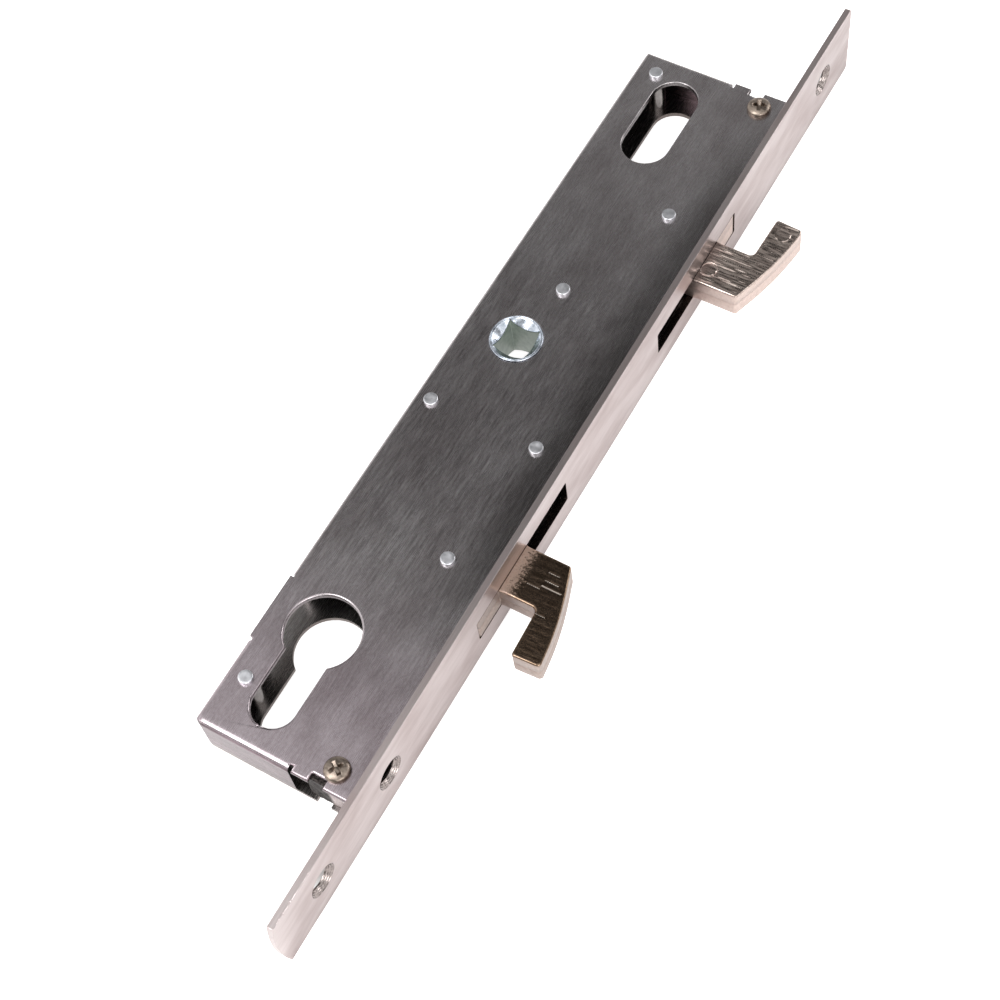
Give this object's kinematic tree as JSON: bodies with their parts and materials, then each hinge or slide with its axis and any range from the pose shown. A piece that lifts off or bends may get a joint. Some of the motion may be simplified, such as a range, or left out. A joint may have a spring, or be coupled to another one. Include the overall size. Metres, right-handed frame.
{
  "type": "mortise lock",
  "caption": "Mortise lock for a sliding door: flat folded case on a long forend, with opposed swinging hooks, a spindle follower and a profile cylinder cut-out.",
  "frame": {"origin": "on the forend's front face, half way across its width, level with the spindle's axis", "axes": "+X out of the forend the way the hooks swing, +Y along the forend up the door, +Z out of the case face with the rivet ends"},
  "size_m": [0.059, 0.2696, 0.0216],
  "materials": {
    "brushed_case": "brushed stainless sheet",
    "satin_forend": "satin stainless strip",
    "cast_lug": "rough cast",
    "nickel_screw": "nickel plated",
    "zinc_pillar": "bright zinc plated",
    "slide_steel": "zinc plated sheet",
    "zinc_follower": "bright zinc plated",
    "nickel_hook": "nickel plated casting"
  },
  "bodies": {
    "case": {"case_pan": "brushed_case", "rear_cover": "brushed_case", "forend": "satin_forend", "forend_lug_top": "cast_lug", "forend_lug_bottom": "cast_lug", "case_screws": "nickel_screw", "pillar_top": "zinc_pillar", "pillar_upper_guide": "zinc_pillar", "pillar_back": "zinc_pillar", "pillar_front_guide": "zinc_pillar", "pillar_bottom": "zinc_pillar", "upper_hook_pivot": "zinc_pillar", "lower_hook_pivot": "zinc_pillar", "upper_pivot_washers": "slide_steel", "lower_pivot_washers": "slide_steel"},
    "follower": {"spindle_follower": "zinc_follower", "follower_pins": "slide_steel"},
    "upper_slide": {"upper_drive_slide": "slide_steel"},
    "lower_slide": {"lower_drive_slide": "slide_steel"},
    "upper_hook": {"upper_hook": "nickel_hook", "upper_hook_tail_pin": "slide_steel"},
    "lower_hook": {"lower_hook": "nickel_hook", "lower_hook_tail_pin": "slide_steel"}
  },
  "joints": [
    {"name": "follower_turn", "type": "hinge", "parent": "case", "child": "follower", "pos_m": [-0.02825, 0, 0], "axis": [0, 0, -1], "range_deg": [0, 70]},
    {"name": "upper_slide_travel", "type": "slide", "parent": "case", "child": "upper_slide", "axis": [0, 1, 0], "range_m": [0, 0.0109]},
    {"name": "lower_slide_travel", "type": "slide", "parent": "case", "child": "lower_slide", "axis": [0, -1, 0], "range_m": [0, 0.0109]},
    {"name": "upper_hook_swing", "type": "hinge", "parent": "case", "child": "upper_hook", "pos_m": [-0.0128, 0.0473, 0], "axis": [0, 0, -1], "range_deg": [0, 90]},
    {"name": "lower_hook_swing", "type": "hinge", "parent": "case", "child": "lower_hook", "pos_m": [-0.0128, -0.0573, 0], "axis": [0, 0, 1], "range_deg": [0, 90]}
  ],
  "couplings": [
    {"joint": "upper_slide_travel", "follows": "follower_turn", "m_per_rad": 0.0089201},
    {"joint": "lower_slide_travel", "follows": "follower_turn", "m_per_rad": 0.0089201},
    {"joint": "upper_hook_swing", "follows": "follower_turn", "ratio": 1.2857},
    {"joint": "lower_hook_swing", "follows": "follower_turn", "ratio": 1.2857}
  ]
}
